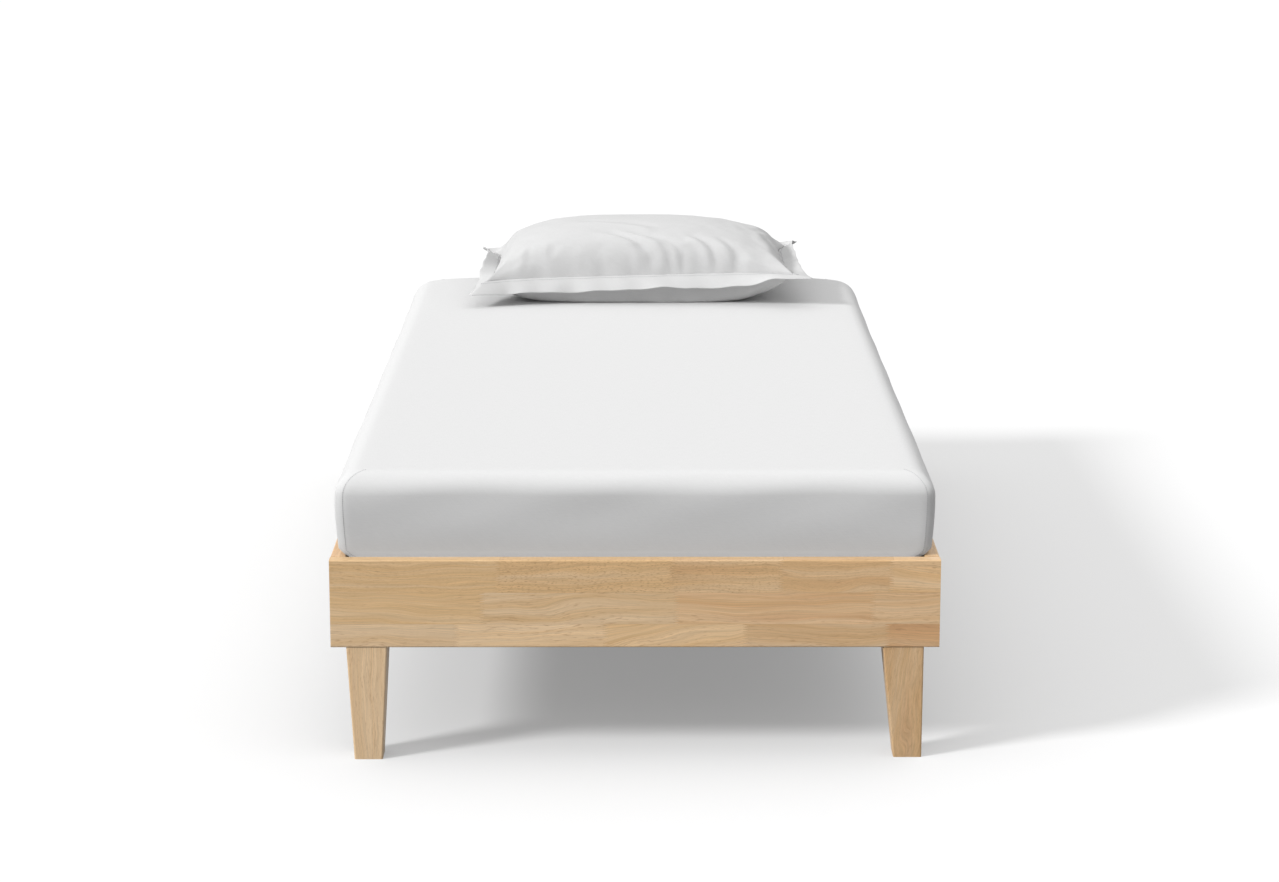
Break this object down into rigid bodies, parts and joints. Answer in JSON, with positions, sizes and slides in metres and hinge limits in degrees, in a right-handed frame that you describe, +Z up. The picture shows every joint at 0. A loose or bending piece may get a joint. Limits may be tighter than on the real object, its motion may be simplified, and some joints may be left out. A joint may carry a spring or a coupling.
{
  "type": "platform bed",
  "caption": "Low single bed with plain finger-jointed wooden rails on short raked legs, a slatted base, a mattress in a fitted sheet and a pillow in a bordered case.",
  "frame": {"origin": "on the floor, under the middle of the bed frame", "axes": "+X to the right as seen from the foot, +Y along the bed to the head, +Z up"},
  "size_m": [0.96, 2.06, 0.6011],
  "materials": {
    "oak": "oiled, satin",
    "ledge_wood": "planed, bare",
    "slat_wood": "planed, bare",
    "steel": "zinc plated",
    "insert_steel": "yellow zinc plated",
    "strap_cloth": "woven strap",
    "mattress_filling": "quilted ticking over foam",
    "sheet_cloth": "plain white cotton",
    "elastic": "covered elastic",
    "pillow_filling": "fibre filling",
    "case_cloth": "plain white cotton"
  },
  "bodies": {
    "frame": {"foot_rail": "oak", "head_rail": "oak", "left_side_rail": "oak", "right_side_rail": "oak", "corner_block_foot_left": "oak", "corner_block_foot_right": "oak", "corner_block_head_right": "oak", "corner_block_head_left": "oak", "leg_foot_left": "oak", "leg_foot_right": "oak", "leg_head_right": "oak", "leg_head_left": "oak", "left_slat_ledge": "ledge_wood", "right_slat_ledge": "ledge_wood", "corner_dowels": "oak", "hanger_bolts": "steel", "corner_bolts": "steel", "block_screws": "steel", "ledge_screws": "steel", "leg_inserts": "insert_steel", "rail_inserts": "insert_steel"},
    "slat_base": {"slat_01": "slat_wood", "slat_02": "slat_wood", "slat_03": "slat_wood", "slat_04": "slat_wood", "slat_05": "slat_wood", "slat_06": "slat_wood", "slat_07": "slat_wood", "slat_08": "slat_wood", "slat_09": "slat_wood", "slat_10": "slat_wood", "slat_11": "slat_wood", "slat_12": "slat_wood", "slat_13": "slat_wood", "slat_14": "slat_wood", "slat_strap_left": "strap_cloth", "slat_strap_right": "strap_cloth", "strap_staples": "steel"},
    "mattress": {"mattress_core": "mattress_filling", "mattress_comfort_layer": "mattress_filling", "fitted_sheet": "sheet_cloth", "hem_elastic": "elastic"},
    "pillow": {"pillow_filling": "pillow_filling", "pillowcase": "case_cloth"}
  },
  "joints": [
    {"name": "slat_base_lift", "type": "slide", "parent": "frame", "child": "slat_base", "axis": [0, 0, 1], "range_m": [0, 0.3]},
    {"name": "mattress_lift", "type": "slide", "parent": "slat_base", "child": "mattress", "axis": [0, 0, 1], "range_m": [0, 0.35]},
    {"name": "pillow_lift", "type": "slide", "parent": "mattress", "child": "pillow", "axis": [0, 0, 1], "range_m": [0, 0.25]}
  ]
}
